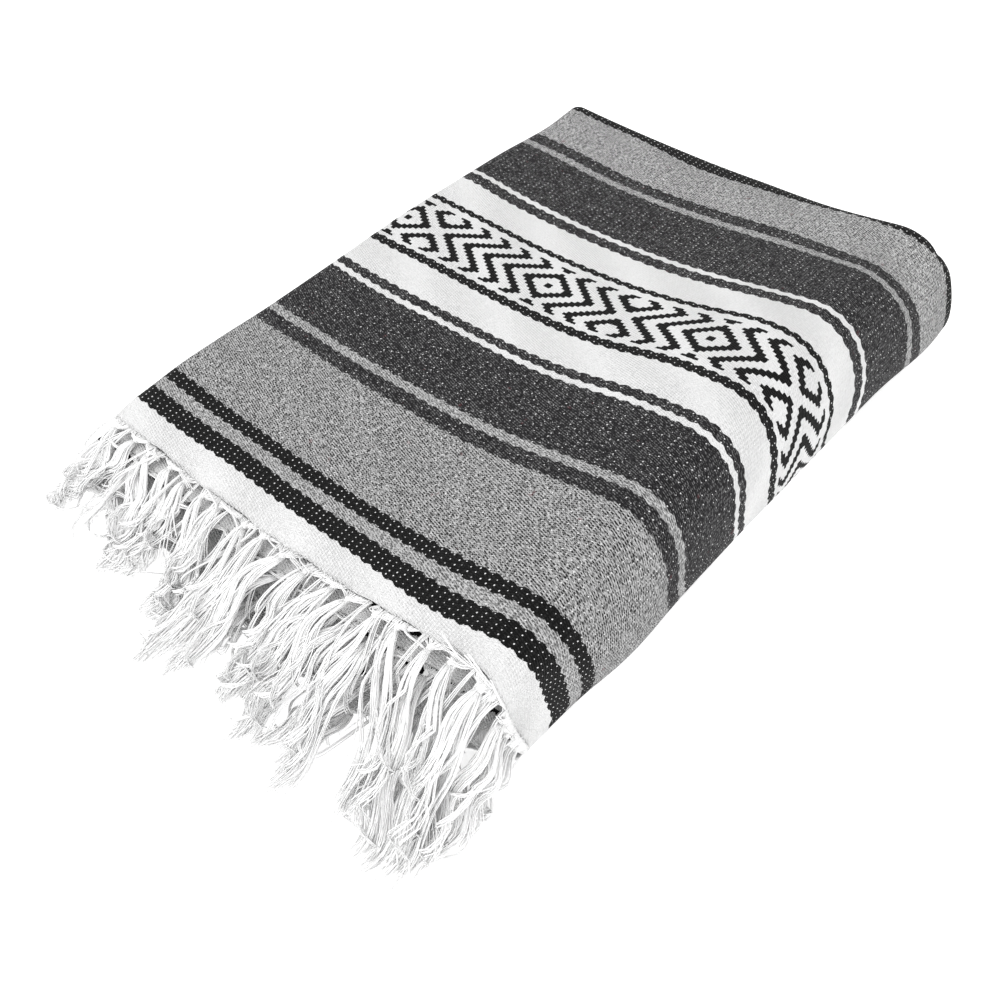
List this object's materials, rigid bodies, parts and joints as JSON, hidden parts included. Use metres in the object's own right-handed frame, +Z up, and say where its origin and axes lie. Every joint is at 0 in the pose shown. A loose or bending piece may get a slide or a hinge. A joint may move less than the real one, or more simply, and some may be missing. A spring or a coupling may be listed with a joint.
{
  "type": "mexican serape",
  "caption": "Folded woven blanket in white, greys and black, with stripes, a band of diamonds and knotted fringe at its front edge.",
  "frame": {"origin": "middle of the footprint, fringe included, on the floor", "axes": "+X along the stripes to the fat outer fold, +Y from the fringe to the back folds, +Z up"},
  "size_m": [0.6888, 0.98, 0.1688],
  "materials": {
    "striped_cloth": "matt woven cotton and acrylic",
    "inner_cloth": "matt woven cotton and acrylic",
    "white_cloth": "matt cotton warp threads"
  },
  "bodies": {
    "root": {"outer_half": "striped_cloth", "inner_layers": "inner_cloth", "fringe_top": "white_cloth", "fringe_second": "white_cloth", "fringe_third": "white_cloth", "fringe_bottom": "white_cloth"}
  },
  "joints": []
}
